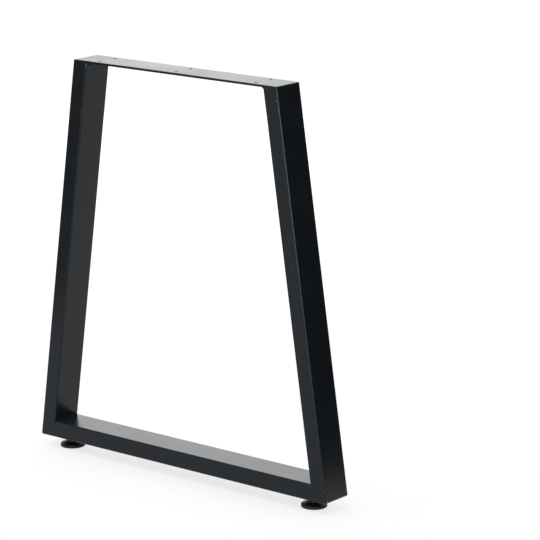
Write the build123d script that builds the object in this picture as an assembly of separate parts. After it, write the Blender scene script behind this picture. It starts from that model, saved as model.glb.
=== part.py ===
from build123d import *
from math import radians, sin, tan
import os

# Trapezoid table leg of welded rectangular tube, in millimetres.
# The origin is on the floor under the middle of the leg: X runs along its width,
# Y through its depth and Z up. The front faces -Y.

# Frame
overall_height = 720.0      # floor to the top of the plate, feet screwed fully in
bottom_width = 660.0        # across the lower corners, at the rail's underside
top_width = 457.0           # length of the plate
tube_depth = 60.0           # wide side of the tube, through the leg's depth
tube_face = 30.0            # narrow side of the tube, seen from the front
tube_wall = 1.5
tube_corner_r = 2.0         # outside of the tube
tube_inner_r = 0.5          # inside of the tube
mitre_grind_r = 3.0         # lower corners, ground round after welding

# Plate that the table top is screwed to
plate_thickness = 4.0
plate_edge_r = 1.0          # round on the plate's top edges
screw_hole_d = 6.0
screw_end_inset = 53.5      # end of the plate to the outer holes
screw_edge_inset = 11.0     # long edge of the plate to the holes
screw_columns = 3
screw_rows = 2

# Weld beads in the inside corners
plate_weld_leg = 4.5
corner_weld_leg = 2.0
weld_hollow = 0.5           # how far a bead's face dips below flat
weld_setback = 1.0          # end of a bead to the side of the tube

# Threaded insert in the rail's underside
thread_d = 8.0
thread_clearance = 0.05     # stud in the insert's thread, all round
insert_wall = 1.45
insert_length = 15.5        # rail's underside to the insert's top
insert_flange_lip = 2.0     # flange beyond the barrel
insert_flange_t = 1.5
insert_bulge_lip = 1.75     # set bulge beyond the barrel
insert_bulge_height = 5.0   # set bulge above the rail's wall
insert_relief = 0.6         # wider, unthreaded bore below the thread

# Levelling foot: base and pad
foot_inset = 50.0           # lower corner of the leg to the foot's axis
base_d = 45.0
base_height = 12.5
rim_height = 5.0
rim_shoulder_r = 2.5        # round where the rim turns into the flare
rim_under_r = 0.8           # round on the rim's lower edge
flare_hollow = 0.4          # how far the flare dips below a straight cone
neck_d = 20.0
neck_height = 3.5
neck_round_r = 0.8
pad_d = 36.0
pad_thickness = 2.5
pad_proud = 0.5             # pad below the rim

# Levelling foot: stud
head_d = 14.0
head_thickness = 3.5
shank_d = 9.0
hex_across_flats = 13.0
hex_height = 5.0
stud_tip_gap = 1.7          # tip of the stud to the rail's upper wall
stud_chamfer = 0.8
swivel_clearance = 0.08     # shank and head in the base, all round
swivel_play = 0.1           # head to the pad, and head to its shoulder
hex_gap = 0.3               # hexagon above the neck
stop_gap = 0.2              # hexagon below the insert's flange

# Levels, from the floor up
head_bottom = pad_thickness + swivel_play
head_top = head_bottom + head_thickness
shoulder = head_top + swivel_play
base_top = pad_proud + base_height
hex_bottom = base_top + hex_gap
hex_top = hex_bottom + hex_height
flange_bottom = hex_top + stop_gap
rail_bottom = flange_bottom + insert_flange_t
rail_top = rail_bottom + tube_face
stud_top = rail_top - tube_wall - stud_tip_gap
insert_top = rail_bottom + insert_length
plate_bottom = overall_height - plate_thickness

# The insert's barrel, and the rail's hole that it is set in
insert_barrel_r = thread_d / 2 + thread_clearance + insert_wall

# Lines of the right-hand side; the left is its mirror image
foot_x = bottom_width / 2 - foot_inset
outer_corner = Vector(bottom_width / 2, 0, rail_bottom)
outer_top = Vector(top_width / 2, 0, plate_bottom)
along_rail = Vector(-1, 0, 0)
along_upright = (outer_top - outer_corner).normalized()
inward = Vector(-along_upright.Z, 0, along_upright.X)
bisector = (along_rail + along_upright).normalized()
half_angle = radians(along_rail.get_angle(along_upright)) / 2
mitre_plane = Plane(outer_corner, z_dir=along_upright - along_rail)
inner_corner = outer_corner + bisector * (tube_face / sin(half_angle))
inner_top = outer_top + along_rail * (tube_face / along_upright.Z)

# Tubes are made longer than needed, then cut to their mitres
overrun = 2 * tube_face
upright_length = (outer_top - outer_corner).length + 2 * overrun
upright_start = outer_corner + inward * (tube_face / 2) - along_upright * overrun
upright_plane = Plane(upright_start, x_dir=inward, z_dir=along_upright)
rail_length = bottom_width + 2 * overrun
rail_start = Vector(-rail_length / 2, 0, rail_bottom + tube_face / 2)
rail_plane = Plane(rail_start, x_dir=(0, 0, 1), z_dir=(1, 0, 0))


def bar(plane, length):
    """Outer form of the tube, solid, from the plane along its normal."""
    return extrude(plane * RectangleRounded(tube_face, tube_depth, tube_corner_r), length)


def tube(plane, length):
    """Hollow tube from the plane along its normal."""
    bore_face = tube_face - 2 * tube_wall
    bore_depth = tube_depth - 2 * tube_wall
    bore = plane * RectangleRounded(bore_face, bore_depth, tube_inner_r)
    return bar(plane, length) - extrude(bore, length)


def front_point(point):
    """A point of the front elevation as the two coordinates of a sketch on the XZ plane."""
    return (point.X, point.Z)


def through_depth(face, depth):
    """A front elevation carried through the leg's depth, evenly to both sides."""
    return extrude(Plane.XZ * face, depth / 2, both=True)


def mirrored(shape):
    """The same piece on the left-hand side."""
    return mirror(shape, about=Plane.YZ)


def grind_waste():
    """What grinding takes off the lower right corner: the corner outside a round of its two faces."""
    tangent_length = mitre_grind_r / tan(half_angle)
    centre = outer_corner + bisector * (mitre_grind_r / sin(half_angle))
    corner = Polygon(
        front_point(centre),
        front_point(outer_corner + along_rail * tangent_length),
        front_point(outer_corner - bisector * mitre_grind_r),
        front_point(outer_corner + along_upright * tangent_length),
        align=None,
    )
    return through_depth(corner - Pos(*front_point(centre)) * Circle(mitre_grind_r), 2 * tube_depth)


def right_upright():
    """Splayed tube with a mitred foot and a level top."""
    piece = split(tube(upright_plane, upright_length), bisect_by=mitre_plane, keep=Keep.TOP)
    piece = split(piece, bisect_by=Plane.XY.offset(plate_bottom), keep=Keep.BOTTOM)
    return piece - grind_waste()


def bottom_rail():
    """Level tube, mitred at both ends, with a hole for each insert in its lower wall."""
    piece = split(tube(rail_plane, rail_length), bisect_by=mitre_plane, keep=Keep.BOTTOM)
    left_mitre = Plane(Vector(-outer_corner.X, 0, rail_bottom),
                       z_dir=Vector(-mitre_plane.z_dir.X, 0, mitre_plane.z_dir.Z))
    piece = split(piece, bisect_by=left_mitre, keep=Keep.BOTTOM)
    piece -= grind_waste()
    piece -= mirrored(grind_waste())
    hole = Cylinder(insert_barrel_r, 2 * tube_wall)
    for x in (-foot_x, foot_x):
        piece -= Pos(x, 0, rail_bottom + tube_wall / 2) * hole
    return piece


def top_plate():
    """Flat strip with rounded corners, softened top edges and a grid of screw holes."""
    blank = RectangleRounded(top_width, tube_depth, tube_corner_r)
    piece = extrude(Plane.XY.offset(plate_bottom) * blank, plate_thickness)
    piece = fillet(piece.faces().sort_by(Axis.Z)[-1].edges(), plate_edge_r)
    column_pitch = (top_width - 2 * screw_end_inset) / (screw_columns - 1)
    row_pitch = (tube_depth - 2 * screw_edge_inset) / (screw_rows - 1)
    middle = Pos(0, 0, overall_height - plate_thickness / 2)
    hole = Cylinder(screw_hole_d / 2, 2 * plate_thickness)
    for spot in GridLocations(column_pitch, row_pitch, screw_columns, screw_rows):
        piece -= middle * spot * hole
    return piece


def bead(toe_a, toe_b, root, tubes):
    """Weld bead: hollow face between two toes, and a root that fills up to the tubes' round edges."""
    face_line = SagittaArc(front_point(toe_a), front_point(toe_b), weld_hollow)
    root_line = Polyline(*[front_point(point) for point in (toe_b, *root, toe_a)])
    piece = through_depth(make_face([face_line, *root_line.edges()]), tube_depth - 2 * weld_setback)
    for form in tubes:
        piece -= form
    return piece


def right_plate_weld():
    """Bead between the plate's underside and the upright's inner face."""
    toe_plate = inner_top + along_rail * plate_weld_leg
    toe_upright = inner_top - along_upright * plate_weld_leg
    root = (toe_upright - inward * tube_corner_r, inner_top - along_rail * tube_corner_r)
    return bead(toe_plate, toe_upright, root, [bar(upright_plane, upright_length)])


def right_corner_weld():
    """Bead between the rail's top and the upright's inner face."""
    toe_upright = inner_corner + along_upright * corner_weld_leg
    toe_rail = inner_corner + along_rail * corner_weld_leg
    root = (
        toe_rail - Vector(0, 0, tube_corner_r),
        inner_corner - bisector * tube_corner_r,
        toe_upright - inward * tube_corner_r,
    )
    tubes = [bar(upright_plane, upright_length), bar(rail_plane, rail_length)]
    return bead(toe_upright, toe_rail, root, tubes)


def turned(*edges):
    """Solid of revolution about Z from the edges of its half section."""
    return revolve(Plane.XZ * make_face(edges), Axis.Z)


def insert():
    """Blind-set threaded insert: flange under the rail, barrel, set bulge above the rail's wall."""
    bulge_bottom = rail_bottom + tube_wall
    bulge_top = bulge_bottom + insert_bulge_height
    bulge_r = insert_barrel_r + insert_bulge_lip
    flange_r = insert_barrel_r + insert_flange_lip
    thread_r = thread_d / 2 + thread_clearance
    relief_r = thread_d / 2 + insert_relief
    section = Polyline(
        (relief_r, flange_bottom),
        (flange_r, flange_bottom),
        (flange_r, rail_bottom),
        (insert_barrel_r, rail_bottom),
        (insert_barrel_r, bulge_bottom),
        (bulge_r, bulge_bottom),
        (insert_barrel_r, bulge_top),
        (insert_barrel_r, insert_top),
        (thread_r, insert_top),
        (thread_r, bulge_top),
        (relief_r, bulge_top),
        close=True,
    )
    return turned(*section.edges())


def foot_stud():
    """Stud: head in the base's pocket, shank through its neck, hexagon, then the thread."""
    head = extrude(Plane.XY.offset(head_bottom) * Circle(head_d / 2), head_thickness)
    shank = extrude(Plane.XY.offset(head_top) * Circle(shank_d / 2), hex_bottom - head_top)
    hexagon = RegularPolygon(hex_across_flats / 2, 6, major_radius=False)
    nut = extrude(Plane.XY.offset(hex_bottom) * hexagon, hex_height)
    thread = extrude(Plane.XY.offset(hex_top) * Circle(thread_d / 2), stud_top - hex_top)
    thread = chamfer(thread.faces().sort_by(Axis.Z)[-1].edges(), stud_chamfer)
    return head + shank + nut + thread


def circles_of(piece, radius, round_r):
    """Circular edges of that radius, give or take half the round they get, from the lowest up."""
    circles = piece.edges().filter_by(GeomType.CIRCLE)
    return circles.filter_by(lambda edge: abs(edge.radius - radius) < round_r / 2).sort_by(Axis.Z)


def foot_base():
    """Trumpet-shaped base: rim, hollow flare and neck, with a pocket for the head and a pad recess."""
    rim_r = base_d / 2
    neck_r = neck_d / 2
    bore_r = shank_d / 2 + swivel_clearance
    pocket_r = head_d / 2 + swivel_clearance
    rim_top = pad_proud + rim_height
    flare_top = base_top - neck_height
    outside = Polyline((neck_r, flare_top), (neck_r, base_top), (bore_r, base_top), (bore_r, shoulder))
    pocket = Polyline((bore_r, shoulder), (pocket_r, shoulder), (pocket_r, pad_thickness),
                      (pad_d / 2, pad_thickness), (pad_d / 2, pad_proud))
    underside = Polyline((pad_d / 2, pad_proud), (rim_r, pad_proud), (rim_r, rim_top))
    flare = SagittaArc((rim_r, rim_top), (neck_r, flare_top), flare_hollow)
    piece = turned(*underside.edges(), flare, *outside.edges(), *pocket.edges())
    piece = fillet(circles_of(piece, rim_r, rim_under_r)[-1], rim_shoulder_r)
    piece = fillet(circles_of(piece, rim_r, rim_under_r)[0], rim_under_r)
    return fillet(circles_of(piece, neck_r, neck_round_r)[-1], neck_round_r)


def foot_pad():
    """Non-slip disc pressed into the base's underside."""
    return extrude(Circle(pad_d / 2), pad_thickness)


side_pieces = {
    "upright": right_upright,
    "plate_weld": right_plate_weld,
    "corner_weld": right_corner_weld,
}
foot_pieces = {
    "insert": insert,
    "foot_stud": foot_stud,
    "foot_base": foot_base,
    "foot_pad": foot_pad,
}
parts = {"bottom_rail": bottom_rail(), "top_plate": top_plate()}
for name, make in side_pieces.items():
    parts["right_" + name] = make()
    parts["left_" + name] = mirrored(parts["right_" + name])
for name, make in foot_pieces.items():
    parts["right_" + name] = Pos(foot_x, 0, 0) * make()
    parts["left_" + name] = Pos(-foot_x, 0, 0) * make()

os.makedirs("parts", exist_ok=True)
for name, piece in parts.items():
    export_step(piece, f"parts/{name}.step")
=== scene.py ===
from functools import partial
from math import acos, atan2, hypot, pi, radians, tan

import bmesh
import bpy
import numpy as np
from bpy.props import FloatProperty, FloatVectorProperty, IntProperty, PointerProperty
from mathutils import Matrix, Vector


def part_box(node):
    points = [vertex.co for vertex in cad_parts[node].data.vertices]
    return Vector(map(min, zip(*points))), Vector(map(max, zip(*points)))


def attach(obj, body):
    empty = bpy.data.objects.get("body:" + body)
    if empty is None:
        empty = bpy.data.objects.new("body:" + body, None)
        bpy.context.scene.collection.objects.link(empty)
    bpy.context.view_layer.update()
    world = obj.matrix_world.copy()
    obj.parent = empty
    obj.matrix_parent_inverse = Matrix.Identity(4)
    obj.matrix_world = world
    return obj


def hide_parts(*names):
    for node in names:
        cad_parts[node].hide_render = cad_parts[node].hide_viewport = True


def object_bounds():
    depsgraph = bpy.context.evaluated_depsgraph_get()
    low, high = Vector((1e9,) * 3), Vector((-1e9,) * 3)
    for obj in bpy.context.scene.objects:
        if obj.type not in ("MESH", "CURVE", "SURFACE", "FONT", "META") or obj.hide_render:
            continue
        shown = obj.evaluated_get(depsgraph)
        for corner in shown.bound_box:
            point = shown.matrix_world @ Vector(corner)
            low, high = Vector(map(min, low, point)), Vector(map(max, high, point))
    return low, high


bl_info = {
    "name": "Trapezoid table leg",
    "version": (1, 0, 0),
    "blender": (4, 5, 0),
    "location": "3D View > Sidebar > Table leg",
    "description": "Coated tubes, plate, weld beads and screw feet of a trapezoid table leg",
    "category": "Object",
}

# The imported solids: everything below is placed by them, in metres
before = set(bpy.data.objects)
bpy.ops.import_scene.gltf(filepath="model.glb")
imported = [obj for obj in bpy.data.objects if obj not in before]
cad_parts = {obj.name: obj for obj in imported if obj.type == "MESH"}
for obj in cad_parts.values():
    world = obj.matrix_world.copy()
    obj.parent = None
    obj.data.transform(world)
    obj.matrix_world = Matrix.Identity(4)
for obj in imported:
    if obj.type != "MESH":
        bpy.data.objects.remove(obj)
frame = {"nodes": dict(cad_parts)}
CAD_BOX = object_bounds()
FLOOR_Z = CAD_BOX[0].z
LEG_MIDDLE = Vector((0.0, 0.0, (CAD_BOX[0].z + CAD_BOX[1].z) / 2))
PLATE_LOW, PLATE_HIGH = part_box("top_plate")
RAIL_LOW, RAIL_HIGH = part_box("bottom_rail")
STUD_LOW, STUD_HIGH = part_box("right_foot_stud")
BASE_LOW, BASE_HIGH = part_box("right_foot_base")
PAD_LOW, PAD_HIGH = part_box("right_foot_pad")
TUBE_FACE = RAIL_HIGH.z - RAIL_LOW.z
TUBE_DEPTH = RAIL_HIGH.y - RAIL_LOW.y
SIDES = {"left": -1.0, "right": 1.0}

# How finely the surfaces are divided
CORNER_STEPS = 8
TUBE_STATIONS = 16
MITRE_STEPS = 8
TURN_STEPS = 96
EASE_STEPS = 5
FLARE_STEPS = 10
HOLE_STEPS = 48
BEAD_STEPS = 12
BEAD_ROWS = 260
HEXAGON_ROWS = 9
THREAD_ROWS_PER_TURN = 12

# Shares and angles that shape the surfaces
MITRE_DEEPEST = 0.95  # how deep in the wall the last step of a ground corner lies
EASE_LIMIT = 0.45  # the most of a side that one softened corner takes up
CUTTER_REACH = 4.0  # how far a hole's cutter stands out of the metal, in edge breaks
CORNER_WEAR_AND_HIGHLIGHT = 0.6  # wear and painted highlight of the plate's upright corners against that of its rim
BEAD_END = 0.5  # leg of a bead at its very end, against its full leg
RIPPLE_BOW = 0.5  # how far a ripple bows along its bead, in ripples
HEXAGON_FACE = 0.97  # round end face of a hexagon, against its flats
HEXAGON_CHAMFER = radians(30)
THREAD_ROOT = 0.15  # half width of the thread's root, in quarters of a pitch
SHARP_ANGLE = radians(38)
FLAT_WEIGHT = 100  # how strongly a large face holds the shading of its edges

# Finishes
PATCH_SPAN = (0.3, 0.7)  # where nearly all of the patch noise lies
SPECK_SMALLEST = 0.07  # radius of the smallest speck, in cells
SPECK_GROWTH = 0.10  # how much larger than that the largest one is
COAT_SHADES = (0.88, 1.12)  # darkest and lightest patch of a powder coat, against its colour
COAT_ROUGHNESS_SPREAD = 0.03
COAT_RELIEF_DEPTH = 0.0006

# Powder coats: how streaked and how patchy each one is, its relief, roughness and gloss
COATS = {
    "frame_coat_black": {"streaks": 0.0, "patches": 22.0, "relief": 0.04, "roughness": 0.25, "gloss": 0.24},
    # Thin and dull, because little powder reaches an inside corner
    "bead_coat_dull": {"streaks": 0.0, "patches": 22.0, "relief": 0.06, "roughness": 0.65, "gloss": 0.06},
    # Streaked lengthwise, as the rolled strip under it is
    "plate_coat_black": {"streaks": 2.0, "patches": 6.0, "relief": 0.005, "roughness": 0.28, "gloss": 0.22},
}

# Chips and blobs in the coat that show light: the place of each on the leg, and its radius
CHIPS = (
    ((-0.1990, -0.0295, 0.7135), 0.0012),
    ((-0.1995, -0.0235, 0.7070), 0.0010),
    ((-0.2130, -0.0300, 0.6285), 0.0008),
    ((0.2275, -0.0300, 0.6965), 0.0010),
    ((0.2315, -0.0300, 0.6800), 0.0009),
    ((0.2085, -0.0300, 0.6690), 0.0007),
    ((0.2100, -0.0300, 0.6510), 0.0007),
    ((0.1960, -0.0300, 0.0285), 0.0006),
    ((0.2595, -0.0300, 0.4165), 0.0009),
    ((0.3240, -0.0300, 0.0410), 0.0007),
    ((0.3295, -0.0260, 0.0245), 0.0014),
)

# Stage: white, how uneven the floor and the cards are, and how far the camera sees
WHITE = (1.0, 1.0, 1.0, 1.0)
FLOOR_SHADE = 0.985
CARD_SHADE = 0.9
CLIP_END = 100.0


def setting(kind, **limits):
    """A maker of values that a user can change, each with its own name, description and default."""
    def made(name, description, default):
        return kind(name=name, description=description, default=default, **limits)
    return made


# What a user can change: sizes in metres, the camera's own ones in millimetres, and linear colours
length = setting(FloatProperty, min=0.0, precision=5, unit="LENGTH", subtype="DISTANCE")
millimetres = setting(FloatProperty, min=0.0, unit="CAMERA")
plain_number = setting(FloatProperty, min=0.0, precision=4)
count = setting(IntProperty, min=1)
angle = setting(FloatProperty, subtype="ANGLE")
colour = setting(FloatVectorProperty, size=3, min=0.0, max=1.0, subtype="COLOR")
position = setting(FloatVectorProperty, size=3, unit="LENGTH", subtype="TRANSLATION")
extent = setting(FloatVectorProperty, size=2, min=0.0, unit="LENGTH")


class LegFrameSizes(bpy.types.PropertyGroup):
    """Sizes of the welded frame."""
    bottom_width: length("Bottom width", "Across the lower corners", 0.660)
    tube_wall: length("Tube wall", "Thickness of the tube's wall", 0.0015)
    tube_corner: length("Tube corner", "Outside corner radius of the tube", 0.002)
    tube_inner_corner: length("Inner corner", "Inside corner radius of the tube", 0.0005)
    mitre_round: length("Mitre round", "Round ground on the lower corners", 0.0042)
    plate_corner: length("Plate corner", "Corner radius of the plate's outline", 0.002)
    plate_edge: length("Plate edge", "Round on the plate's long top edges", 0.001)
    plate_end: length("Plate end", "Round on the plate's end edges, ground with the weld", 0.0025)
    plate_burr: length("Plate underside edge", "Small round on the plate's lower edge", 0.0003)
    hole_radius: length("Screw hole", "Radius of a screw hole in the plate", 0.003)
    hole_break: length("Hole edge", "Broken edge of a screw hole", 0.00025)
    hole_pitch: length("Hole pitch", "Spacing of the screw holes along the plate", 0.175)
    hole_gauge: length("Hole gauge", "Spacing of the screw holes across the plate", 0.038)
    insert_hole: length("Insert hole", "Radius of the hole for a foot's insert", 0.0055)


class LegWeldSizes(bpy.types.PropertyGroup):
    """Sizes of the weld beads."""
    plate_leg: length("Plate bead", "Leg of the bead under the plate", 0.0045)
    corner_leg: length("Corner bead", "Leg of the bead on the rail", 0.002)
    hollow: length("Hollow", "How far a bead's face dips below flat", 0.0005)
    setback: length("Setback", "End of a bead to the side of the tube", 0.001)
    end_round: length("End round", "Length over which a bead's end tapers", 0.0012)
    ripple: length("Ripple", "Height of the ripples along a bead", 0.00012)
    ripple_pitch: length("Ripple pitch", "Spacing of the ripples", 0.0017)


class LegFootSizes(bpy.types.PropertyGroup):
    """Sizes of a screw foot."""
    rim_height: length("Rim height", "Height of the base's rim", 0.005)
    rim_shoulder: length("Rim shoulder", "Softening where the rim turns into the flare", 0.0018)
    rim_under: length("Rim underside", "Softening of the rim's lower edge", 0.0008)
    flare_hollow: length("Flare hollow", "How far the flare dips below a cone", 0.0004)
    neck_radius: length("Neck radius", "Radius of the base's neck", 0.010)
    neck_height: length("Neck height", "Straight part of the neck", 0.0035)
    neck_round: length("Neck round", "Softening of the neck's top edge", 0.0008)
    swivel_gap: length("Swivel gap", "Room round the stud in the base", 0.00008)
    swivel_play: length("Swivel play", "Room above and below the stud's head", 0.0001)
    edge_break: length("Edge break", "Softening of the small edges", 0.00012)
    head_radius: length("Head radius", "Radius of the stud's head", 0.007)
    head_height: length("Head height", "Thickness of the stud's head", 0.0035)
    shank_radius: length("Shank radius", "Radius of the stud's plain shank", 0.0045)
    hexagon_gap: length("Hexagon gap", "Neck's top to the hexagon", 0.0003)
    hexagon_height: length("Hexagon height", "Height of the spanner hexagon", 0.005)
    hexagon_flat: length("Hexagon", "Middle of the hexagon to a flat", 0.0065)
    thread_radius: length("Thread radius", "Crest of the thread", 0.004)
    thread_pitch: length("Thread pitch", "Travel for one turn", 0.00125)
    thread_depth: length("Thread depth", "Crest to root of the thread", 0.00068)
    tip_chamfer: length("Tip chamfer", "Chamfer on the stud's tip", 0.0008)


class LegColours(bpy.types.PropertyGroup):
    """Colours of the finishes."""
    coat: colour("Coat", "Black powder coat", (0.0098, 0.0126, 0.0156))
    coat_gloss: colour("Coat gloss", "Tint of the coat's gloss where it is faced", (0.85, 0.93, 1.0))
    # Lighter coat colour for the edges: partly coat rubbed thin, partly a painted highlight where the rounded
    # edges catch light
    worn_and_highlight: colour("Worn coat", "Coat rubbed thin on the edges", (0.055, 0.060, 0.064))
    speck: colour("Specks", "Dust and small chips on the coat", (0.40, 0.41, 0.42))
    plastic: colour("Base plastic", "Black moulded nylon", (0.0130, 0.0132, 0.0140))
    scuff: colour("Scuffed plastic", "Nylon rubbed on its rim", (0.060, 0.061, 0.063))
    zinc: colour("Zinc", "Zinc plated steel", (0.56, 0.57, 0.58))
    zinc_dull: colour("Dull zinc", "Zinc gone dull in patches", (0.34, 0.345, 0.35))
    rubber: colour("Rubber", "Black non-slip pad", (0.014, 0.014, 0.014))
    rubber_dust: colour("Dusty rubber", "Dust on the pad", (0.045, 0.043, 0.040))
    floor: colour("Floor", "Pale floor", (0.36, 0.36, 0.36))
    dark_card: colour("Dark card", "Card at the leg's right, seen in the gloss alone", (0.07, 0.07, 0.07))
    grey_card: colour("Grey card", "Card at the leg's left, seen in the gloss alone", (0.60, 0.60, 0.60))


class LegStage(bpy.types.PropertyGroup):
    """Camera, light and floor."""
    azimuth: angle("Azimuth", "Camera turned round the leg from its front", radians(39.372))
    elevation: angle("Elevation", "Camera above the horizon", radians(13.784))
    roll: angle("Roll", "Camera turned about its own axis", radians(-0.380))
    distance: length("Distance", "Camera to the point that it looks at", 4.8259)
    aim_right: length("Aim right", "That point to the right of the leg's middle", 0.14419)
    aim_up: length("Aim up", "That point above the leg's middle, along the picture", 0.00941)
    lens: millimetres("Lens", "Focal length of the camera", 186.133)
    sensor: millimetres("Sensor", "Width of the camera's sensor", 36.0)
    world_level: plain_number("World level", "Strength of the even light from all round", 0.55)
    back_level: plain_number("Back light", "Radiance of the panel behind the leg", 1.28)
    back_place: position("Back light place", "Middle of the panel behind the leg", (-2.0, 2.5, 1.2))
    back_size: extent("Back light size", "Width and height of the panel behind the leg", (3.4, 2.3))
    top_level: plain_number("Top light", "Radiance of the panel above the leg", 1.2)
    top_place: position("Top light place", "Middle of the panel above the leg", (-0.6, -0.6, 3.2))
    top_size: extent("Top light size", "Width and height of the panel above the leg", (2.4, 2.4))
    strip_level: plain_number("Strip light", "Radiance of the strip in front, seen in the gloss alone", 16.0)
    strip_place: position("Strip light place", "Middle of the low strip in front", (2.07, -5.23, 0.415))
    strip_size: extent("Strip light size", "Width and height of the low strip in front", (8.0, 0.49))
    floor_lift: plain_number("Floor lift", "White added to the floor where it is seen near the leg", 0.745)
    floor_lift_far: plain_number("Far floor lift", "White added to the floor where it is seen far off", 0.85)
    lift_start: length("Lift start", "Distance at which the floor's added white begins to grow", 0.8)
    lift_end: length("Lift end", "Distance at which the floor's added white stops growing", 3.0)
    floor_radius: length("Floor radius", "Radius of the floor", 16.0)
    floor_rings: count("Floor rings", "Rings that the floor is made of", 6)
    dark_radius: length("Dark card radius", "Leg's middle to the dark card at its right", 0.68)
    dark_height: length("Dark card height", "Height of the dark card", 1.4)
    dark_start: angle("Dark card start", "Turn from the right to the dark card's near end", radians(2))
    dark_end: angle("Dark card end", "Turn from the right to the dark card's far end", radians(50))
    grey_radius: length("Grey card radius", "Leg's middle to the grey card at its left", 1.30)
    grey_height: length("Grey card height", "Height of the grey card", 1.0)
    grey_start: angle("Grey card start", "Turn from the right to the grey card's far end", radians(195))
    grey_end: angle("Grey card end", "Turn from the right to the grey card's near end", radians(231))


class LegSettings(bpy.types.PropertyGroup):
    """Everything that a user can change."""
    frame: PointerProperty(type=LegFrameSizes)
    welds: PointerProperty(type=LegWeldSizes)
    foot: PointerProperty(type=LegFootSizes)
    colours: PointerProperty(type=LegColours)
    stage: PointerProperty(type=LegStage)


# Surfaces

def grid_faces(points, rows_closed):
    """Four-sided faces of a grid of points: each point with its neighbours along and across.
    Columns always close on themselves; rows do when rows_closed is set."""
    rows, columns = points.shape[:2]
    row = np.arange(rows if rows_closed else rows - 1)[:, None]
    column = np.arange(columns)[None, :]
    next_row = (row + 1) % rows
    next_column = (column + 1) % columns
    corners = (row * columns + column, row * columns + next_column,
               next_row * columns + next_column, next_row * columns + column)
    return np.stack(np.broadcast_arrays(*corners), axis=-1).reshape(-1, 4).tolist()


def capped_faces(points):
    """Faces of an open grid of rings, with one flat face on the first ring and one on the last."""
    rows, columns = points.shape[:2]
    first = np.arange(columns)[::-1]
    last = (rows - 1) * columns + np.arange(columns)
    return grid_faces(points, False) + [first.tolist(), last.tolist()]


def rounded_loop(width, depth, radius):
    """Outline of a rounded rectangle: a quarter circle about each corner's centre, in turn."""
    turn = np.linspace(0.0, pi / 2, CORNER_STEPS + 1) + np.arange(4)[:, None] * pi / 2
    corner = np.array(((1, 1), (-1, 1), (-1, -1), (1, -1)))
    centre = corner * (width / 2 - radius, depth / 2 - radius)
    loop = centre[:, None, :] + radius * np.stack((np.cos(turn), np.sin(turn)), axis=-1)
    return loop.reshape(-1, 2)


def corner_edge():
    """How near each point of a rounded outline is to the middle of its corner: the sine of twice its turn."""
    return np.tile(np.sin(2 * np.linspace(0.0, pi / 2, CORNER_STEPS + 1)), 4)


def eased(points, reach):
    """A closed outline with each corner replaced by a parabola that starts and ends
    the given reach away from it, or less on a short side."""
    before = np.roll(points, 1, axis=0) - points
    after = np.roll(points, -1, axis=0) - points
    before_length = np.linalg.norm(before, axis=1)
    after_length = np.linalg.norm(after, axis=1)
    start = points + before * (np.minimum(reach, EASE_LIMIT * before_length) / before_length)[:, None]
    end = points + after * (np.minimum(reach, EASE_LIMIT * after_length) / after_length)[:, None]
    share = np.linspace(0.0, 1.0, EASE_STEPS)[None, :, None]
    corner = points[:, None]
    curve = (1 - share) ** 2 * start[:, None] + 2 * share * (1 - share) * corner + share ** 2 * end[:, None]
    return curve.reshape(-1, 2)


def turned(radius, height, middle_x, columns=TURN_STEPS):
    """Surface of revolution: each radius and height carried round an upright axis at middle_x.
    radius may also change with the turn, as an array of rows by columns."""
    turn = np.linspace(0.0, 2 * pi, columns, endpoint=False)
    radius = radius if radius.ndim == 2 else radius[:, None]
    height = np.broadcast_to(height[:, None], (len(height), columns))
    return np.stack((middle_x + radius * np.cos(turn), radius * np.sin(turn), height), axis=-1)


def mesh_object(name, points, faces):
    """A mesh object at the origin, with its place in its points."""
    mesh = bpy.data.meshes.new(name)
    mesh.from_pydata(points.reshape(-1, 3).tolist(), [], faces)
    obj = bpy.data.objects.new(name, mesh)
    bpy.context.scene.collection.objects.link(obj)
    return obj


def mark_edges(obj, edge):
    """Keeps how near each point is to an edge, for the finish to read."""
    layer = obj.data.attributes.new("edge", "FLOAT", "POINT")
    layer.data.foreach_set("value", np.ascontiguousarray(edge, dtype=np.float32).ravel())


def drill(obj, cutter):
    """Takes the cutter's form out of the piece, and the cutter away."""
    cut = obj.modifiers.new("holes", "BOOLEAN")
    cut.operation = "DIFFERENCE"
    cut.solver = "EXACT"
    cut.object = cutter
    depsgraph = bpy.context.evaluated_depsgraph_get()
    drilled = bpy.data.meshes.new_from_object(obj.evaluated_get(depsgraph))
    obj.modifiers.remove(cut)
    blank = obj.data
    obj.data = drilled
    bpy.data.meshes.remove(blank)
    bpy.data.objects.remove(cutter)
    drilled.name = obj.name


def shade_mesh(obj):
    """Outward faces, and shading that is smooth over rounds and true on flats."""
    work = bmesh.new()
    work.from_mesh(obj.data)
    bmesh.ops.recalc_face_normals(work, faces=work.faces)
    work.to_mesh(obj.data)
    work.free()
    obj.data.shade_smooth()
    obj.data.set_sharp_from_angle(angle=SHARP_ANGLE)
    weighted = obj.modifiers.new("flat faces", "WEIGHTED_NORMAL")
    weighted.keep_sharp = True
    weighted.weight = FLAT_WEIGHT


def make_piece(name, points, faces, edge=None, holes=None):
    """A piece from its points and faces, with its edges marked and its holes drilled where it has them."""
    obj = mesh_object(name, points, faces)
    if edge is not None:
        mark_edges(obj, edge)
    if holes is not None:
        drill(obj, holes)
    shade_mesh(obj)
    return obj


def set_on_leg(obj, node, body, material):
    """Puts a finished piece in the place of its solid."""
    obj.data.materials.clear()
    obj.data.materials.append(material)
    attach(obj, body)
    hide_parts(node)


# Lines of the frame

def corner_half_angle(sizes):
    """Half the angle between the rail and an upright at the lower corner."""
    run = sizes.bottom_width / 2 - PLATE_HIGH.x
    rise = PLATE_LOW.z - RAIL_LOW.z
    return atan2(rise, run) / 2


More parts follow.
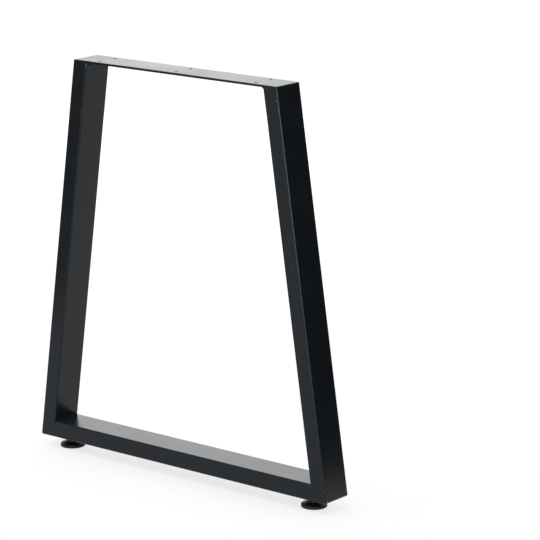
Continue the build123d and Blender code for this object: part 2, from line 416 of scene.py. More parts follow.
def upright_lines(sizes, side):
    """Lower outside corner of an upright, the way it runs up, and the way to the leg's middle across it."""
    corner = np.array((side * sizes.bottom_width / 2, 0.0, RAIL_LOW.z))
    top = np.array((side * PLATE_HIGH.x, 0.0, PLATE_LOW.z))
    along = (top - corner) / np.linalg.norm(top - corner)
    inward = np.array((-side * along[2], 0.0, side * along[0]))
    return corner, along, inward


def mitre_end(sizes, inset):
    """How far along a tube its mitred end stands, by the inset from its outer face:
    the mitre's slope, or the ground round where that stands further in."""
    slope = 1 / tan(corner_half_angle(sizes))
    above = np.clip(sizes.mitre_round - inset, 0.0, sizes.mitre_round)
    ground = sizes.mitre_round * slope - np.sqrt(sizes.mitre_round ** 2 - above ** 2)
    return np.maximum(inset * slope, ground)


def level_end(corner, along, inward, inset):
    """How far along an upright its top end stands, by the inset from its outer face:
    cut level under the plate."""
    return (PLATE_LOW.z - corner[2] - inset * inward[2]) / along[2]


def tube_skin(sizes, origin, along, inward, start, end):
    """Skin of a hollow tube. A rounded outline runs along the outside from the tube's start to its end,
    steps in through the wall, and runs back along the bore. start and end give the ends by the inset
    from the outer face, so a station is a share of the way between them at every point of the outline."""
    outer = rounded_loop(TUBE_FACE, TUBE_DEPTH, sizes.tube_corner)
    bore = rounded_loop(TUBE_FACE - 2 * sizes.tube_wall, TUBE_DEPTH - 2 * sizes.tube_wall,
                        sizes.tube_inner_corner)
    station = np.linspace(0.0, 1.0, TUBE_STATIONS + 1)
    swing_end = acos(1 - MITRE_DEEPEST * sizes.tube_wall / sizes.mitre_round)
    swing = np.linspace(0.0, swing_end, MITRE_STEPS + 1)[1:]
    wall_share = sizes.mitre_round * (1 - np.cos(swing)) / sizes.tube_wall
    share = np.concatenate((np.zeros_like(station), wall_share, np.ones_like(station), wall_share[::-1]))
    way = np.concatenate((station, np.ones_like(swing), station[::-1], np.zeros_like(swing)))
    section = outer + (bore - outer) * share[:, None, None]
    inset = section[..., 0] + TUBE_FACE / 2
    distance = start(inset) * (1 - way[:, None]) + end(inset) * way[:, None]
    points = origin + inset[..., None] * inward + distance[..., None] * along
    points[..., 1] = section[..., 1]
    edge = np.where(share[:, None] == 0.0, corner_edge(), 0.0)
    return points, edge


def hole_cutter(name, spots, radius, bottom, top, edge_break):
    """Spools at the given spots: a round bar that flares by the edge break where it meets each face."""
    reach = CUTTER_REACH * edge_break
    height = np.array((bottom - reach, bottom, bottom + edge_break, top - edge_break, top, top + reach))
    half = (radius + edge_break + reach, radius + edge_break, radius)
    spool = turned(np.array(half + half[::-1]), height, 0.0, HOLE_STEPS)
    points = spool[None] + np.array([(x, y, 0.0) for x, y in spots])[:, None, None, :]
    faces = capped_faces(spool)
    step = len(height) * HOLE_STEPS
    all_faces = [[corner + spot * step for corner in face] for spot in range(len(spots)) for face in faces]
    return mesh_object(name, points, all_faces)


def plate_skin(sizes):
    """Skin of the plate, between its two flat faces: the plate's outline goes up from a small round
    on the lower edge, straight up the side, and over to the top along a quarter circle, a large one
    at the plate's ends and a small one along its sides, both read at the same heights."""
    width = PLATE_HIGH.x - PLATE_LOW.x
    depth = PLATE_HIGH.y - PLATE_LOW.y
    over = np.linspace(0.0, pi / 2, CORNER_STEPS + 1)
    under = sizes.plate_burr * (1 - np.sin(over))
    drop = sizes.plate_end * (1 - np.sin(over))
    above = np.clip(sizes.plate_edge - drop, 0.0, sizes.plate_edge)
    end_inset = np.concatenate((under, sizes.plate_end * (1 - np.cos(over))))
    side_inset = np.concatenate((under, sizes.plate_edge - np.sqrt(sizes.plate_edge ** 2 - above ** 2)))
    height = np.concatenate((PLATE_LOW.z + sizes.plate_burr * (1 - np.cos(over)), PLATE_HIGH.z - drop))
    loops = [rounded_loop(width - 2 * e, depth - 2 * s, sizes.plate_corner - s)
             for e, s in zip(end_inset, side_inset)]
    level = np.broadcast_to(height[:, None, None], (len(height), len(loops[0]), 1))
    points = np.concatenate((np.stack(loops), level), axis=-1)
    rim = np.concatenate((np.zeros_like(over), np.sin(over * 2)))
    edge = np.maximum(np.broadcast_to(rim[:, None], points.shape[:2]), CORNER_WEAR_AND_HIGHLIGHT * corner_edge())
    return points, edge


def bead_skin(sizes, tube_corner, corner, leg, along_a, along_b, fall_a, fall_b):
    """Skin of a weld bead in an inside corner. Across the bead, a parabola dips between a toe on each
    of the two faces; along the leg's depth it carries crescent ripples and tapers at its ends. fall_a and
    fall_b say which way each face falls away where the tube's edges are round."""
    half = RAIL_HIGH.y - sizes.setback
    row = np.linspace(-half, half, BEAD_ROWS)
    past = np.clip(np.abs(row) - (RAIL_HIGH.y - tube_corner), 0.0, tube_corner)
    fall = tube_corner - np.sqrt(tube_corner ** 2 - past ** 2)
    taper_share = np.clip((np.abs(row) - half + sizes.end_round) / sizes.end_round, 0.0, 1.0)
    size = leg * np.sqrt(1 - (1 - BEAD_END ** 2) * taper_share ** 2)
    root = corner + fall[:, None] * (fall_a + fall_b)
    toe_a = corner + size[:, None] * along_a + fall[:, None] * fall_a
    toe_b = corner + size[:, None] * along_b + fall[:, None] * fall_b
    across = np.linspace(0.0, 1.0, BEAD_STEPS + 1)[None, :, None]
    arch = 4 * across * (1 - across)
    to_root = -(along_a + along_b) / np.linalg.norm(along_a + along_b)
    phase = row[:, None, None] / sizes.ripple_pitch + RIPPLE_BOW * arch
    ripple = sizes.ripple * arch * np.abs(np.sin(pi * phase))
    dip = sizes.hollow * arch * (size / leg)[:, None, None]
    face = toe_a[:, None] * (1 - across) + toe_b[:, None] * across + (dip - ripple) * to_root
    points = np.concatenate((face, root[:, None]), axis=1)
    points[..., 1] = row[:, None]
    return points


def base_outline(foot):
    """Half section of the foot's base, from the pad's recess round the rim, up the hollow flare to the neck,
    and down the bore and the head's pocket, with each corner softened; and how near each point is to the
    rim's shoulder."""
    rim = (BASE_HIGH.x - BASE_LOW.x) / 2
    pad = (PAD_HIGH.x - PAD_LOW.x) / 2
    bore = foot.shank_radius + foot.swivel_gap
    pocket = foot.head_radius + foot.swivel_gap
    rim_top = BASE_LOW.z + foot.rim_height
    flare_top = BASE_HIGH.z - foot.neck_height
    shoulder = STUD_LOW.z + foot.head_height + foot.swivel_play
    share = np.linspace(0.0, 1.0, FLARE_STEPS + 1)
    run = foot.neck_radius - rim
    rise = flare_top - rim_top
    dip = foot.flare_hollow * 4 * share * (1 - share) / hypot(run, rise)
    flare = np.stack((rim + run * share - rise * dip, rim_top + rise * share + run * dip), axis=-1)
    lower = ((pad, BASE_LOW.z), (rim, BASE_LOW.z))
    upper = ((foot.neck_radius, BASE_HIGH.z), (bore, BASE_HIGH.z), (bore, shoulder), (pocket, shoulder),
             (pocket, PAD_HIGH.z), (pad, PAD_HIGH.z))
    corners = np.concatenate((lower, flare, upper))
    flare_start = len(lower)
    flare_end = flare_start + len(flare)
    reach = np.full(len(corners), foot.edge_break)
    reach[flare_start - 1] = foot.rim_under
    reach[flare_start] = foot.rim_shoulder
    reach[flare_start + 1:flare_end] = hypot(run, rise) / FLARE_STEPS
    reach[flare_end] = foot.neck_round
    edge = np.zeros(len(corners))
    edge[flare_start] = 1.0
    return eased(corners, reach), np.repeat(edge, EASE_STEPS)


def stud_skin(foot, middle):
    """Skin of the stud as a radius by height and turn: a round head and shank, a hexagon whose corners
    are cut by a cone at each end, then a thread whose radius falls and rises once for each pitch
    along a right-hand helix, with a chamfered tip."""
    turn = np.linspace(0.0, 2 * pi, TURN_STEPS, endpoint=False)[None, :]
    soft = foot.edge_break
    head_top = STUD_LOW.z + foot.head_height
    hexagon_low = BASE_HIGH.z + foot.hexagon_gap
    hexagon_top = hexagon_low + foot.hexagon_height
    head = np.array(((STUD_LOW.z, foot.head_radius - soft), (STUD_LOW.z + soft, foot.head_radius),
                     (head_top - soft, foot.head_radius), (head_top, foot.head_radius - soft),
                     (head_top, foot.shank_radius), (hexagon_low, foot.shank_radius)))
    round_part = np.broadcast_to(head[:, 1:], (len(head), TURN_STEPS))
    flat = foot.hexagon_flat / np.cos((turn + pi / 6) % (pi / 3) - pi / 6)
    cone_height = np.linspace(0.0, 1.0, HEXAGON_ROWS)[:, None] * foot.hexagon_height
    from_end = np.minimum(cone_height, foot.hexagon_height - cone_height)
    cone = foot.hexagon_flat * HEXAGON_FACE + from_end / tan(HEXAGON_CHAMFER)
    hexagon = np.minimum(flat, cone)
    rows = round((STUD_HIGH.z - hexagon_top) / foot.thread_pitch * THREAD_ROWS_PER_TURN)
    thread_height = np.linspace(hexagon_top, STUD_HIGH.z, rows)[:, None]
    turns = (thread_height - hexagon_top) / foot.thread_pitch
    phase = (turns - turn / (2 * pi)) % 1.0
    groove = np.clip(1 + THREAD_ROOT - np.abs(4 * phase - 2), 0.0, 1.0)
    runout = np.clip(turns - 1.0, 0.0, 1.0)
    tip = foot.thread_radius - foot.tip_chamfer + (STUD_HIGH.z - thread_height)
    thread = np.minimum(foot.thread_radius - foot.thread_depth * groove * runout, tip)
    radius = np.concatenate((round_part, hexagon, thread))
    height = np.concatenate((head[:, 0], hexagon_low + cone_height[:, 0], thread_height[:, 0]))
    return turned(radius, height, middle)


# Nodes of the finishes

def rgba(values, share=1.0):
    """A colour with full cover, made darker or lighter by the share."""
    return (*(share * value for value in values), 1.0)


def set_inputs(tree, node, inputs):
    """Each input set to a value, or joined to another node's socket."""
    for name, value in inputs.items():
        if isinstance(value, bpy.types.NodeSocket):
            tree.links.new(value, node.inputs[name])
        else:
            node.inputs[name].default_value = value


def add_node(tree, kind, inputs, **settings):
    """A node with its settings and its inputs."""
    made = tree.nodes.new(kind)
    for name, value in settings.items():
        setattr(made, name, value)
    set_inputs(tree, made, inputs)
    return made


def math_node(tree, operation, first, second=0.0, third=0.0, limit=False):
    """Result of one sum on up to three values."""
    made = add_node(tree, "ShaderNodeMath", {0: first, 1: second, 2: third},
                    operation=operation, use_clamp=limit)
    return made.outputs[0]


def mix_colours(tree, share, first, second):
    """A colour between two others."""
    return add_node(tree, "ShaderNodeMix", {0: share, 6: first, 7: second}, data_type="RGBA").outputs[2]


def map_range(tree, value, low, high, first, last):
    """A value carried from the span low to high into the span first to last, and held at its ends."""
    inputs = {0: value, 1: low, 2: high, 3: first, 4: last}
    return add_node(tree, "ShaderNodeMapRange", inputs).outputs[0]


def noise(tree, place, scale, detail=2.0, roughness=0.5):
    """Cloudy noise about one half, with that many clouds to a metre."""
    inputs = {"Vector": place, "Scale": scale, "Detail": detail, "Roughness": roughness}
    return add_node(tree, "ShaderNodeTexNoise", inputs).outputs[0]


def own_place(tree):
    """The piece's own coordinates, in which its patterns lie."""
    return add_node(tree, "ShaderNodeTexCoord", {}).outputs["Object"]


def edge_mark(tree):
    """How near a point is to an edge, as the piece keeps it."""
    return add_node(tree, "ShaderNodeAttribute", {}, attribute_name="edge").outputs["Fac"]


def relief(tree, height, strength, depth):
    """The surface's direction with fine relief on it."""
    inputs = {"Height": height, "Strength": strength, "Distance": depth}
    return add_node(tree, "ShaderNodeBump", inputs).outputs["Normal"]


# Effects that the finishes share

def new_group(name, values, outputs):
    """An empty effect with coordinates and named values going in, and named values coming out."""
    group = bpy.data.node_groups.new(name, "ShaderNodeTree")
    group.interface.new_socket("Coordinates", in_out="INPUT", socket_type="NodeSocketVector")
    for label, default in values.items():
        socket = group.interface.new_socket(label, in_out="INPUT", socket_type="NodeSocketFloat")
        socket.default_value = default
    for label in outputs:
        group.interface.new_socket(label, in_out="OUTPUT", socket_type="NodeSocketFloat")
    return group, group.nodes.new("NodeGroupInput").outputs, group.nodes.new("NodeGroupOutput")


def grain_group(name):
    """Fine grain of a sprayed, moulded or plated surface, with slower patches and lengthwise streaks."""
    values = {"Grain": 900.0, "Patches": 22.0, "Streaks": 0.0}
    group, given, result = new_group(name, values, ("Height", "Patch"))
    place = given["Coordinates"]
    grain = noise(group, place, given["Grain"], detail=2.0, roughness=0.45)
    patch = noise(group, place, given["Patches"], detail=4.0, roughness=0.6)
    drawn = add_node(group, "ShaderNodeMapping", {"Vector": place, "Scale": (0.012, 1.0, 1.0)})
    streak = noise(group, drawn.outputs["Vector"], scale=420.0, detail=3.0, roughness=0.6)
    about_none = math_node(group, "SUBTRACT", streak, 0.5)
    set_inputs(group, result, {
        "Height": math_node(group, "MULTIPLY_ADD", streak, given["Streaks"], grain),
        "Patch": math_node(group, "MULTIPLY_ADD", about_none, given["Streaks"], patch),
    })
    return group


def wear_and_highlight_group(name):
    """Where an edge is lighter: its nearness to the edge, broken up by uneven noise. On the powder coat this
    is partly rubbed wear and partly a painted highlight; on the nylon it is a rubbed rim.
    """
    group, given, result = new_group(name, {"Edge": 0.0, "Amount": 0.5}, ("Mask",))
    broken = noise(group, given["Coordinates"], scale=60.0, detail=6.0, roughness=0.65)
    uneven = map_range(group, broken, low=0.40, high=0.62, first=0.25, last=1.0)
    sharp = math_node(group, "POWER", given["Edge"], 2.0)
    rubbed = math_node(group, "MULTIPLY", sharp, uneven)
    mask = math_node(group, "MULTIPLY", rubbed, given["Amount"], limit=True)
    set_inputs(group, result, {"Mask": mask})
    return group


def speck_group(name):
    """Sparse specks: the middle of a random cell here and there, more of them near an edge."""
    values = {"Edge": 0.0, "Cells": 160.0, "Share": 0.01, "Edge share": 0.10}
    group, given, result = new_group(name, values, ("Mask",))
    cell = add_node(group, "ShaderNodeTexVoronoi", {
        "Vector": given["Coordinates"], "Scale": given["Cells"]}).outputs
    chance = add_node(group, "ShaderNodeSeparateColor", {0: cell["Color"]}).outputs
    share = math_node(group, "MULTIPLY_ADD", given["Edge"], given["Edge share"], given["Share"])
    chosen = math_node(group, "LESS_THAN", chance[0], share)
    size = math_node(group, "MULTIPLY_ADD", chance[1], SPECK_GROWTH, SPECK_SMALLEST)
    near = math_node(group, "LESS_THAN", cell["Distance"], size)
    set_inputs(group, result, {"Mask": math_node(group, "MULTIPLY", chosen, near)})
    return group


def chip_group(name):
    """Chips at their fixed places: each one a spot with a soft edge about its place."""
    group, given, result = new_group(name, {"Softness": 0.0002}, ("Mask",))
    mask = 0.0
    for middle, radius in CHIPS:
        away = add_node(group, "ShaderNodeVectorMath", {0: given["Coordinates"], 1: middle},
                        operation="DISTANCE").outputs["Value"]
        inside = math_node(group, "SUBTRACT", radius, away)
        spot = math_node(group, "DIVIDE", inside, given["Softness"], limit=True)
        mask = math_node(group, "MAXIMUM", mask, spot)
    set_inputs(group, result, {"Mask": mask})
    return group


EFFECTS = {"surface grain": grain_group, "edge wear and highlight": wear_and_highlight_group, "specks": speck_group, "chips": chip_group}


def add_effect(tree, name, inputs):
    """What a shared effect puts out in a material with its own values. It is made when first asked for."""
    group = bpy.data.node_groups.get(name) or EFFECTS[name](name)
    return add_node(tree, "ShaderNodeGroup", inputs, node_tree=group).outputs


# Finishes

def new_material(name):
    """A material, its nodes and its main shader."""
    material = bpy.data.materials.new(name)
    material.use_nodes = True
    tree = material.node_tree
    return material, tree, tree.nodes["Principled BSDF"]


def patchy(tree, grain, first, last):
    """A value that goes from first to last with the patches."""
    return map_range(tree, grain["Patch"], *PATCH_SPAN, first, last)


def powder_coat(name, colours):
    """Black powder coat: fine orange peel, slow patches of gloss, edges made lighter partly by rubbed wear
    and partly by a painted highlight, a few specks.
    """
    coat = COATS[name]
    material, tree, shader = new_material(name)
    place = own_place(tree)
    edge = edge_mark(tree)
    grain = add_effect(tree, "surface grain", {
        "Coordinates": place, "Patches": coat["patches"], "Streaks": coat["streaks"]})
    # This edge mask lightens the coat's edges: partly rubbed wear, partly a painted highlight
    wear = add_effect(tree, "edge wear and highlight", {"Coordinates": place, "Edge": edge, "Amount": 0.3})
    specks = add_effect(tree, "specks", {
        "Coordinates": place, "Edge": edge, "Share": 0.0015, "Edge share": 0.05})
    chips = add_effect(tree, "chips", {"Coordinates": place})
    dark, light = (rgba(colours.coat, share) for share in COAT_SHADES)
    shaded = mix_colours(tree, patchy(tree, grain, 0.0, 1.0), dark, light)
    # Edges mixed towards the lighter edge colour: rubbed wear together with a painted highlight
    rubbed = mix_colours(tree, wear["Mask"], shaded, rgba(colours.worn_and_highlight))
    marks = math_node(tree, "MAXIMUM", specks["Mask"], chips["Mask"])
    low = coat["roughness"] - COAT_ROUGHNESS_SPREAD
    high = coat["roughness"] + COAT_ROUGHNESS_SPREAD
    set_inputs(tree, shader, {
        "Base Color": mix_colours(tree, marks, rubbed, rgba(colours.speck)),
        "Roughness": patchy(tree, grain, low, high),
        "Specular IOR Level": coat["gloss"],
        "Specular Tint": rgba(colours.coat_gloss),
        "Normal": relief(tree, grain["Height"], coat["relief"], COAT_RELIEF_DEPTH),
    })
    return material


def moulded_nylon(name, colours):
    """Semi-gloss black nylon: faint moulding grain, and a rim that is rubbed a little lighter."""
    material, tree, shader = new_material(name)
    place = own_place(tree)
    grain = add_effect(tree, "surface grain", {"Coordinates": place, "Grain": 1600.0, "Patches": 120.0})
    wear = add_effect(tree, "edge wear and highlight", {"Coordinates": place, "Edge": edge_mark(tree), "Amount": 0.7})
    set_inputs(tree, shader, {
        "Base Color": mix_colours(tree, wear["Mask"], rgba(colours.plastic), rgba(colours.scuff)),
        "Roughness": patchy(tree, grain, 0.44, 0.52),
        "Specular IOR Level": 0.18,
        "Normal": relief(tree, grain["Height"], strength=0.05, depth=0.0003),
    })
    return material


def zinc_plate(name, colours):
    """Bright zinc plating, gone dull in small patches."""
    material, tree, shader = new_material(name)
    grain = add_effect(tree, "surface grain", {
        "Coordinates": own_place(tree), "Grain": 2600.0, "Patches": 260.0})
    dull = map_range(tree, grain["Patch"], low=0.42, high=0.68, first=0.0, last=1.0)
    set_inputs(tree, shader, {
        "Base Color": mix_colours(tree, dull, rgba(colours.zinc), rgba(colours.zinc_dull)),
        "Roughness": patchy(tree, grain, 0.24, 0.42),
        "Metallic": 1.0,
        "Normal": relief(tree, grain["Height"], strength=0.05, depth=0.0002),
    })
    return material


def matt_rubber(name, colours):
    """Matt black rubber with floor dust in patches."""
    material, tree, shader = new_material(name)
    grain = add_effect(tree, "surface grain", {
        "Coordinates": own_place(tree), "Grain": 1200.0, "Patches": 90.0})
    dusty = map_range(tree, grain["Patch"], low=0.45, high=0.75, first=0.0, last=0.8)
    set_inputs(tree, shader, {
        "Base Color": mix_colours(tree, dusty, rgba(colours.rubber), rgba(colours.rubber_dust)),
        "Roughness": patchy(tree, grain, 0.70, 0.85),
        "Specular IOR Level": 0.3,
        "Normal": relief(tree, grain["Height"], strength=0.25, depth=0.0004),
    })
    return material


FINISHES = {**dict.fromkeys(COATS, powder_coat),
            "moulded_nylon": moulded_nylon, "zinc_plate": zinc_plate, "matt_rubber": matt_rubber}


def finish(name, settings):
    """The material of that name, made when first asked for."""
    return bpy.data.materials.get(name) or FINISHES[name](name, settings.colours)


# Pieces

class LEG_OT_uprights(bpy.types.Operator):
    """Make the two splayed tubes, mitred at the foot and cut level at the top"""
    bl_idname = "table_leg.uprights"
    bl_label = "Uprights"

    def execute(self, context):
        settings = context.scene.table_leg
        sizes = settings.frame
        for side, sign in SIDES.items():
            lines = upright_lines(sizes, sign)
            points, edge = tube_skin(sizes, *lines, partial(mitre_end, sizes), partial(level_end, *lines))
            obj = make_piece(side + "_upright_tube", points, grid_faces(points, True), edge)
            set_on_leg(obj, side + "_upright", "frame", finish("frame_coat_black", settings))
        return {"FINISHED"}


class LEG_OT_rail(bpy.types.Operator):
    """Make the bottom rail, mitred at both ends, with its two insert holes"""
    bl_idname = "table_leg.rail"
    bl_label = "Bottom rail"

    def execute(self, context):
        settings = context.scene.table_leg
        sizes = settings.frame
        corner = np.array((sizes.bottom_width / 2, 0.0, RAIL_LOW.z))
        points, edge = tube_skin(sizes, corner, np.array((-1.0, 0.0, 0.0)), np.array((0.0, 0.0, 1.0)),
                                 partial(mitre_end, sizes),
                                 lambda inset: sizes.bottom_width - mitre_end(sizes, inset))
        foot_x = (STUD_LOW.x + STUD_HIGH.x) / 2
        wall_top = RAIL_LOW.z + sizes.tube_wall
        holes = hole_cutter("insert_holes", ((-foot_x, 0.0), (foot_x, 0.0)), sizes.insert_hole,
                            RAIL_LOW.z, wall_top, sizes.hole_break)
        obj = make_piece("bottom_rail_tube", points, grid_faces(points, True), edge, holes)
        set_on_leg(obj, "bottom_rail", "frame", finish("frame_coat_black", settings))
        return {"FINISHED"}


class LEG_OT_plate(bpy.types.Operator):
    """Make the plate with its six screw holes"""
    bl_idname = "table_leg.plate"
    bl_label = "Top plate"

    def execute(self, context):
        settings = context.scene.table_leg
        sizes = settings.frame
        points, edge = plate_skin(sizes)
        columns = (-sizes.hole_pitch, 0.0, sizes.hole_pitch)
        rows = (-sizes.hole_gauge / 2, sizes.hole_gauge / 2)
        holes = hole_cutter("screw_holes", [(x, y) for x in columns for y in rows], sizes.hole_radius,
                            PLATE_LOW.z, PLATE_HIGH.z, sizes.hole_break)
        obj = make_piece("top_plate_strip", points, capped_faces(points), edge, holes)
        set_on_leg(obj, "top_plate", "frame", finish("plate_coat_black", settings))
        return {"FINISHED"}


class LEG_OT_welds(bpy.types.Operator):
    """Make the rippled weld beads in the inside corners"""
    bl_idname = "table_leg.welds"
    bl_label = "Weld beads"

    def execute(self, context):
        settings = context.scene.table_leg
        sizes = settings.frame
        welds = settings.welds
        level = np.zeros(3)
        up = np.array((0.0, 0.0, 1.0))
        for side, sign in SIDES.items():
            corner, along, inward = upright_lines(sizes, sign)
            middleward = np.array((-sign, 0.0, 0.0))
            plate_end = np.array((sign * PLATE_HIGH.x, 0.0, PLATE_LOW.z))
            under_plate = plate_end + middleward * TUBE_FACE / along[2]
            on_rail = corner + middleward * mitre_end(sizes, TUBE_FACE) + TUBE_FACE * up
            beads = {
                "_plate_weld": (under_plate, welds.plate_leg, middleward, -along, level, -inward),
                "_corner_weld": (on_rail, welds.corner_leg, along, middleward, -inward, -up),
            }
            for name, lines in beads.items():
                points = bead_skin(welds, sizes.tube_corner, *lines)
                unworn = np.zeros(points.shape[:2])
                obj = make_piece(side + name + "_bead", points, capped_faces(points), unworn)
                set_on_leg(obj, side + name, "frame", finish("bead_coat_dull", settings))
        return {"FINISHED"}


class LEG_OT_foot_bases(bpy.types.Operator):
    """Make the trumpet-shaped bases of the feet"""
    bl_idname = "table_leg.foot_bases"
    bl_label = "Foot bases"

    def execute(self, context):
        settings = context.scene.table_leg
        outline, edge = base_outline(settings.foot)
        nylon = finish("moulded_nylon", settings)
        for side, sign in SIDES.items():
            points = turned(outline[:, 0], outline[:, 1], sign * (BASE_LOW.x + BASE_HIGH.x) / 2)
            obj = make_piece(side + "_foot_base_moulding", points, grid_faces(points, True),
                             np.broadcast_to(edge[:, None], points.shape[:2]))
            set_on_leg(obj, side + "_foot_base", side + "_foot", nylon)
        return {"FINISHED"}


class LEG_OT_foot_studs(bpy.types.Operator):
    """Make the threaded studs with their spanner hexagons"""
    bl_idname = "table_leg.foot_studs"
    bl_label = "Foot studs"

    def execute(self, context):
        settings = context.scene.table_leg
        zinc = finish("zinc_plate", settings)
        for side, sign in SIDES.items():
            points = stud_skin(settings.foot, sign * (STUD_LOW.x + STUD_HIGH.x) / 2)
            obj = make_piece(side + "_foot_stud_thread", points, capped_faces(points))
            set_on_leg(obj, side + "_foot_stud", side + "_stud", zinc)
        return {"FINISHED"}


class LEG_OT_small_parts(bpy.types.Operator):
    """Finish the inserts and the pads, which keep their solids"""
    bl_idname = "table_leg.small_parts"
    bl_label = "Inserts and pads"

    def execute(self, context):
        settings = context.scene.table_leg
        finishes = {"_insert": finish("zinc_plate", settings), "_foot_pad": finish("matt_rubber", settings)}
        for side in SIDES:
            for name, material in finishes.items():
                mesh = frame["nodes"][side + name].data
                mesh.materials.clear()
                mesh.materials.append(material)
        return {"FINISHED"}


# Stage

def seen_rays(tree):
    """One for rays from the camera and for mirrored or refracted ones, and nothing for soft light."""
    path = add_node(tree, "ShaderNodeLightPath", {}).outputs
    mirrored = math_node(tree, "MAXIMUM", path["Is Glossy Ray"], path["Is Transmission Ray"])
    return math_node(tree, "MAXIMUM", path["Is Camera Ray"], mirrored)


def floor_material(settings):
    """Pale matt floor with faint unevenness, lifted to white where it is seen, so its shadows stay."""
    stage = settings.stage
    pale = settings.colours.floor
    material, tree, shader = new_material("pale_floor")
    place = own_place(tree)
    uneven = noise(tree, place, scale=3.0, detail=3.0)
    set_inputs(tree, shader, {
        "Base Color": mix_colours(tree, uneven, rgba(pale, FLOOR_SHADE), rgba(pale)),
        "Roughness": 0.9,
        "Specular IOR Level": 0.0,
    })
    away = add_node(tree, "ShaderNodeVectorMath", {0: place}, operation="LENGTH").outputs["Value"]
    white = map_range(tree, away, stage.lift_start, stage.lift_end, stage.floor_lift, stage.floor_lift_far)
    lift = math_node(tree, "MULTIPLY", seen_rays(tree), white)
    glow = add_node(tree, "ShaderNodeEmission", {"Color": WHITE, "Strength": lift})
    both = add_node(tree, "ShaderNodeAddShader", {0: shader.outputs[0], 1: glow.outputs[0]})
    set_inputs(tree, tree.nodes["Material Output"], {"Surface": both.outputs[0]})
    return material


def add_floor(settings):
    """Round floor of rings that widen with the square of their number."""
    stage = settings.stage
    ring = np.arange(1, stage.floor_rings + 1) / stage.floor_rings
    points = turned(stage.floor_radius * ring ** 2, np.full(stage.floor_rings, FLOOR_Z), 0.0)
    faces = grid_faces(points, False) + [list(range(TURN_STEPS))[::-1]]
    obj = mesh_object("floor", points, faces)
    obj.data.materials.append(floor_material(settings))


def add_panel(name, place, size, radiance):
    """Soft light panel: an even rectangle that faces the leg's middle, with a power of radiance times
    area times pi."""
    data = bpy.data.lights.new(name, "AREA")
    data.shape = "RECTANGLE"
    data.size, data.size_y = size
    data.energy = radiance * data.size * data.size_y * pi
    obj = bpy.data.objects.new(name, data)
    obj.location = place
    obj.rotation_euler = (LEG_MIDDLE - Vector(place)).to_track_quat("-Z", "Y").to_euler()
    obj.visible_camera = False
    bpy.context.scene.collection.objects.link(obj)
    return obj


def add_card(name, shade, radius, height, start, end):
    """Card that stands on the floor, seen in the gloss alone: an upright band of a cylinder."""
    turn = np.linspace(start, end, TURN_STEPS)
    ring = np.stack((radius * np.cos(turn), radius * np.sin(turn), np.full(TURN_STEPS, FLOOR_Z)), axis=-1)
    points = np.stack((ring, ring + (0.0, 0.0, height - FLOOR_Z)))
    column = np.arange(TURN_STEPS - 1)
    faces = np.stack((column, column + 1, column + 1 + TURN_STEPS, column + TURN_STEPS), axis=-1)
    obj = mesh_object(name, points, faces.tolist())
    material, tree, shader = new_material(name)
    fibre = noise(tree, own_place(tree), scale=30.0)
    set_inputs(tree, shader, {
        "Base Color": mix_colours(tree, fibre, rgba(shade, CARD_SHADE), rgba(shade)),
        "Specular IOR Level": 0.0,
    })
    obj.data.materials.append(material)
    obj.visible_camera = False
    obj.visible_diffuse = False
    obj.visible_shadow = False


def add_world(stage):
    """Even soft light from all round, seen as plain white."""
    world = bpy.data.worlds.new("studio")
    world.use_nodes = True
    tree = world.node_tree
    level = stage.world_level
    strength = math_node(tree, "MULTIPLY_ADD", seen_rays(tree), 1.0 - level, level)
    set_inputs(tree, tree.nodes["Background"], {"Color": WHITE, "Strength": strength})
    bpy.context.scene.world = world


def add_camera(stage):
    """Camera that looks at a point beside the leg's middle from its azimuth, elevation and distance."""
    turn = Matrix.Rotation(stage.azimuth, 3, "Z") @ Matrix.Rotation(pi / 2 - stage.elevation, 3, "X")
    right, up, back = turn.col
    aim = LEG_MIDDLE + right * stage.aim_right + up * stage.aim_up
    data = bpy.data.cameras.new("photo_view")
    data.lens = stage.lens
    data.sensor_width = stage.sensor
    data.clip_end = CLIP_END
    obj = bpy.data.objects.new("photo_view", data)
    obj.matrix_world = (Matrix.Translation(aim + back * stage.distance)
                        @ (turn @ Matrix.Rotation(stage.roll, 3, "Z")).to_4x4())
    bpy.context.scene.collection.objects.link(obj)
    bpy.context.scene.camera = obj


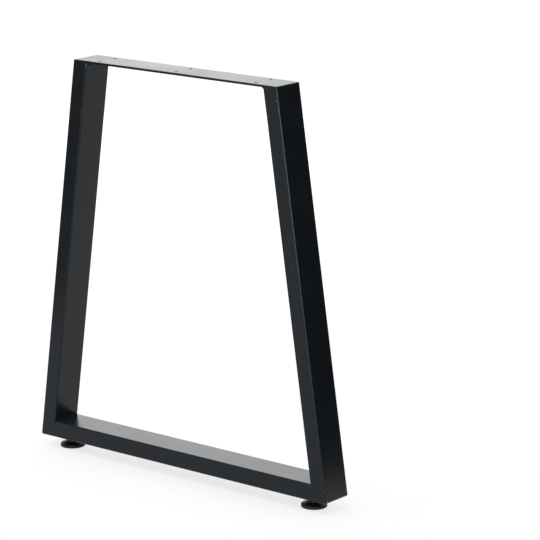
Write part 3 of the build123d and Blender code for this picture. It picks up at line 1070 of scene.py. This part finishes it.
class LEG_OT_stage(bpy.types.Operator):
    """Make the floor, the soft light and the camera"""
    bl_idname = "table_leg.stage"
    bl_label = "Stage"

    def execute(self, context):
        settings = context.scene.table_leg
        stage = settings.stage
        add_floor(settings)
        add_world(stage)
        add_panel("back_panel", stage.back_place, stage.back_size, stage.back_level)
        add_panel("top_panel", stage.top_place, stage.top_size, stage.top_level)
        strip = add_panel("low_strip", stage.strip_place, stage.strip_size, stage.strip_level)
        strip.visible_diffuse = False
        add_card("dark_card", settings.colours.dark_card, stage.dark_radius, stage.dark_height,
                 stage.dark_start, stage.dark_end)
        add_card("grey_card", settings.colours.grey_card, stage.grey_radius, stage.grey_height,
                 stage.grey_start, stage.grey_end)
        add_camera(stage)
        context.scene.view_settings.view_transform = "Standard"
        return {"FINISHED"}


OPERATORS = (LEG_OT_uprights, LEG_OT_rail, LEG_OT_plate, LEG_OT_welds, LEG_OT_foot_bases,
             LEG_OT_foot_studs, LEG_OT_small_parts, LEG_OT_stage)


class LEG_PT_panel(bpy.types.Panel):
    """Buttons for each group of pieces, and the sizes and colours that they use"""
    bl_idname = "LEG_PT_panel"
    bl_label = "Table leg"
    bl_space_type = "VIEW_3D"
    bl_region_type = "UI"
    bl_category = "Table leg"

    def draw(self, context):
        settings = context.scene.table_leg
        for operator in OPERATORS:
            self.layout.operator(operator.bl_idname)
        for name in LegSettings.__annotations__:
            box = self.layout.box()
            box.label(text=name.capitalize())
            group = getattr(settings, name)
            for key in group.__annotations__:
                box.prop(group, key)


CLASSES = (LegFrameSizes, LegWeldSizes, LegFootSizes, LegColours, LegStage, LegSettings,
           *OPERATORS, LEG_PT_panel)


def register():
    for cls in CLASSES:
        bpy.utils.register_class(cls)
    bpy.types.Scene.table_leg = PointerProperty(type=LegSettings)


def unregister():
    del bpy.types.Scene.table_leg
    for cls in reversed(CLASSES):
        bpy.utils.unregister_class(cls)


def main():
    """Makes every piece and the stage."""
    register()
    bpy.ops.table_leg.uprights()
    bpy.ops.table_leg.rail()
    bpy.ops.table_leg.plate()
    bpy.ops.table_leg.welds()
    bpy.ops.table_leg.foot_bases()
    bpy.ops.table_leg.foot_studs()
    bpy.ops.table_leg.small_parts()
    bpy.ops.table_leg.stage()


if __name__ == "__main__":
    main()
